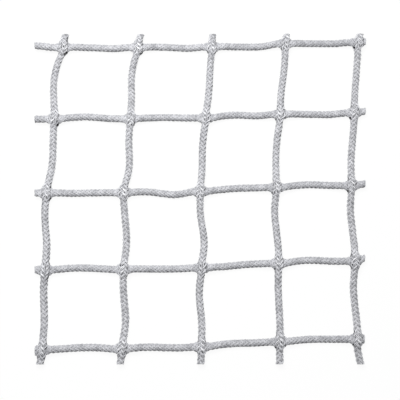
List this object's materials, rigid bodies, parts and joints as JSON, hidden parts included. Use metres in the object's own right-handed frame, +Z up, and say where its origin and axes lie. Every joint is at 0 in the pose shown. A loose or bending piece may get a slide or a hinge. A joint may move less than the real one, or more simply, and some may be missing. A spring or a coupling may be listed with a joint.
{
  "type": "climbing net",
  "caption": "Flat square-mesh climbing net of braided cord. Uprights open at each crossing to grip the cross cords, and the meshes skew from square into diamonds.",
  "frame": {"origin": "under the middle crossing, on the surface that the net lies on", "axes": "+X along the cross cords to the right, +Y across them to the top edge, +Z up off the surface"},
  "size_m": [0.4561, 0.4566, 0.0148],
  "materials": {
    "braided_cord": "braided multifilament, soft sheen"
  },
  "bodies": {
    "upright_cord_1": {"upright_cord_1": "braided_cord"},
    "upright_cord_2": {"upright_cord_2": "braided_cord"},
    "upright_cord_3": {"upright_cord_3": "braided_cord"},
    "upright_cord_4": {"upright_cord_4": "braided_cord"},
    "upright_cord_5": {"upright_cord_5": "braided_cord"},
    "cross_cord_1": {"cross_cord_1": "braided_cord"},
    "cross_cord_2": {"cross_cord_2": "braided_cord"},
    "cross_cord_3": {"cross_cord_3": "braided_cord"},
    "cross_cord_4": {"cross_cord_4": "braided_cord"},
    "cross_cord_5": {"cross_cord_5": "braided_cord"}
  },
  "joints": [
    {"name": "net_skew", "type": "hinge", "parent": "cross_cord_3", "child": "upright_cord_3", "pos_m": [0, 0, 0], "axis": [0, 0, 1], "range_deg": [-26, 34]},
    {"name": "upright_1_swing", "type": "hinge", "parent": "cross_cord_3", "child": "upright_cord_1", "pos_m": [-0.2032, 0.003, 0], "axis": [0, 0, 1], "range_deg": [-26, 34]},
    {"name": "upright_2_swing", "type": "hinge", "parent": "cross_cord_3", "child": "upright_cord_2", "pos_m": [-0.1016, 0.001, 0], "axis": [0, 0, 1], "range_deg": [-26, 34]},
    {"name": "upright_4_swing", "type": "hinge", "parent": "cross_cord_3", "child": "upright_cord_4", "pos_m": [0.1016, 0.003, 0], "axis": [0, 0, 1], "range_deg": [-26, 34]},
    {"name": "upright_5_swing", "type": "hinge", "parent": "cross_cord_3", "child": "upright_cord_5", "pos_m": [0.2032, 0.003, 0], "axis": [0, 0, 1], "range_deg": [-26, 34]},
    {"name": "cross_1_swing", "type": "hinge", "parent": "upright_cord_3", "child": "cross_cord_1", "pos_m": [0.02265, 0.20211, 0], "axis": [0, 0, 1], "range_deg": [-34, 26]},
    {"name": "cross_2_swing", "type": "hinge", "parent": "upright_cord_3", "child": "cross_cord_2", "pos_m": [0.01058, 0.10111, 0], "axis": [0, 0, 1], "range_deg": [-34, 26]},
    {"name": "cross_4_swing", "type": "hinge", "parent": "upright_cord_3", "child": "cross_cord_4", "pos_m": [-0.0021, -0.1017, 0], "axis": [0, 0, 1], "range_deg": [-34, 26]},
    {"name": "cross_5_swing", "type": "hinge", "parent": "upright_cord_3", "child": "cross_cord_5", "pos_m": [-0.0057, -0.2033, 0], "axis": [0, 0, 1], "range_deg": [-34, 26]}
  ],
  "couplings": [
    {"joint": "upright_1_swing", "follows": "net_skew", "ratio": 1},
    {"joint": "upright_2_swing", "follows": "net_skew", "ratio": 1},
    {"joint": "upright_4_swing", "follows": "net_skew", "ratio": 1},
    {"joint": "upright_5_swing", "follows": "net_skew", "ratio": 1},
    {"joint": "cross_1_swing", "follows": "net_skew", "ratio": -1},
    {"joint": "cross_2_swing", "follows": "net_skew", "ratio": -1},
    {"joint": "cross_4_swing", "follows": "net_skew", "ratio": -1},
    {"joint": "cross_5_swing", "follows": "net_skew", "ratio": -1}
  ]
}
